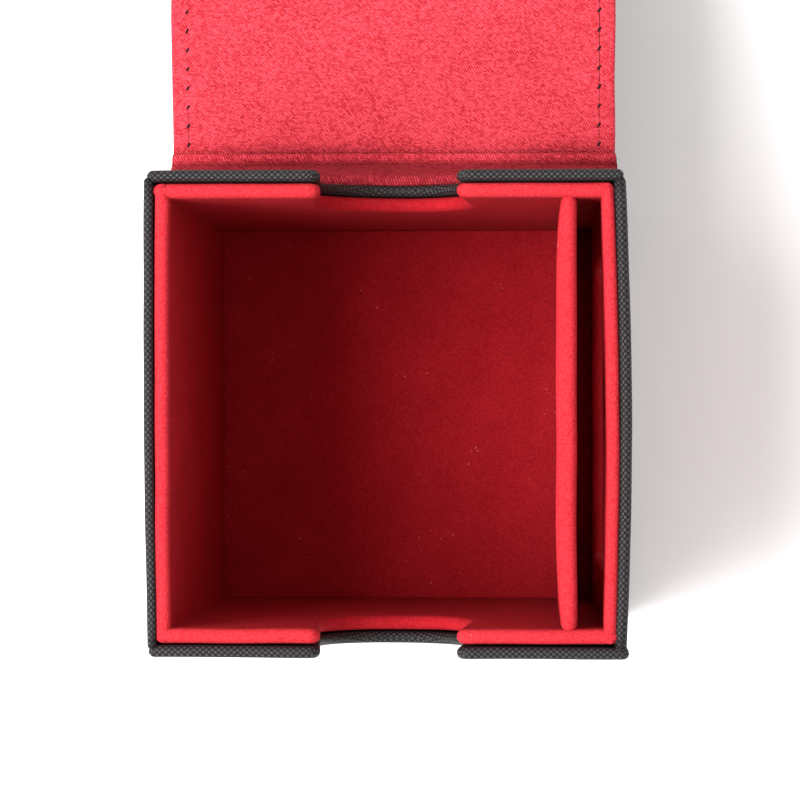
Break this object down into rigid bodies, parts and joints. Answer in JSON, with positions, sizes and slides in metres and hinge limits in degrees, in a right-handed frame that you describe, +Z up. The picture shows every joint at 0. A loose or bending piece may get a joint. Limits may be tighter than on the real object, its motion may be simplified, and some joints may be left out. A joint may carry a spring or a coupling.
{
  "type": "card deck box",
  "caption": "Leather-covered box for a standing deck of cards, with a red lining, a display slot behind a window, thumb notches and a folding magnetic flap.",
  "frame": {"origin": "centre of the box's flat underside, on the table", "axes": "+Z up, +Y towards the flap's side, +X towards the display window's side"},
  "size_m": [0.0872, 0.2518, 0.107],
  "materials": {
    "leather": "fine embossed black synthetic leather, satin",
    "microfibre": "short-napped red microfibre, matte with a soft sheen",
    "twill": "red lining cloth with a fine diagonal rib, matte with a soft sheen",
    "board": "grey-brown book board, matte",
    "film": "clear glossy plastic film",
    "window_thread": "red sewing thread",
    "flap_thread": "dark sewing thread",
    "magnet": "nickel-plated disc"
  },
  "bodies": {
    "box": {"base_leather": "leather", "base_board": "board", "front_board": "board", "back_board": "board", "left_board": "board", "right_board": "board", "front_leather": "leather", "back_leather": "leather", "left_leather": "leather", "right_leather": "leather", "window_film": "film", "window_thread": "window_thread", "floor_board": "board", "floor_lining": "microfibre", "inner_front_board": "board", "inner_back_board": "board", "inner_left_board": "board", "inner_right_board": "board", "inner_front_lining": "microfibre", "inner_back_lining": "microfibre", "inner_left_lining": "microfibre", "inner_right_lining": "microfibre", "divider_board": "board", "divider_lining": "microfibre", "case_magnets": "magnet", "flap_anchor_leather": "leather", "flap_anchor_lining": "twill", "wall_crease_leather": "leather", "wall_crease_lining": "twill"},
    "flap_back": {"flap_back_board": "board", "flap_back_leather": "leather", "flap_back_lining": "twill", "flap_back_thread": "flap_thread"},
    "flap_top": {"flap_top_board": "board", "flap_top_leather": "leather", "flap_top_lining": "twill", "flap_top_thread": "flap_thread", "top_crease_leather": "leather", "top_crease_lining": "twill"},
    "flap_front": {"flap_front_board": "board", "flap_front_leather": "leather", "flap_front_lining": "twill", "flap_front_thread": "flap_thread", "front_crease_leather": "leather", "front_crease_lining": "twill", "flap_magnets": "magnet"}
  },
  "joints": [
    {"name": "wall_fold", "type": "hinge", "parent": "box", "child": "flap_back", "pos_m": [0, 0.04109, 0.06445], "axis": [1, 0, 0], "range_deg": [0, 82.2], "deforming": ["wall_crease_leather", "wall_crease_lining"]},
    {"name": "top_fold", "type": "hinge", "parent": "flap_back", "child": "flap_top", "pos_m": [0, 0.08545, 0.06598], "axis": [1, 0, 0], "range_deg": [0, 142.97], "deforming": ["top_crease_leather", "top_crease_lining"]},
    {"name": "front_fold", "type": "hinge", "parent": "flap_top", "child": "flap_front", "pos_m": [0, 0.14975, 0.0013], "axis": [1, 0, 0], "range_deg": [0, 44.83], "deforming": ["front_crease_leather", "front_crease_lining"]}
  ]
}
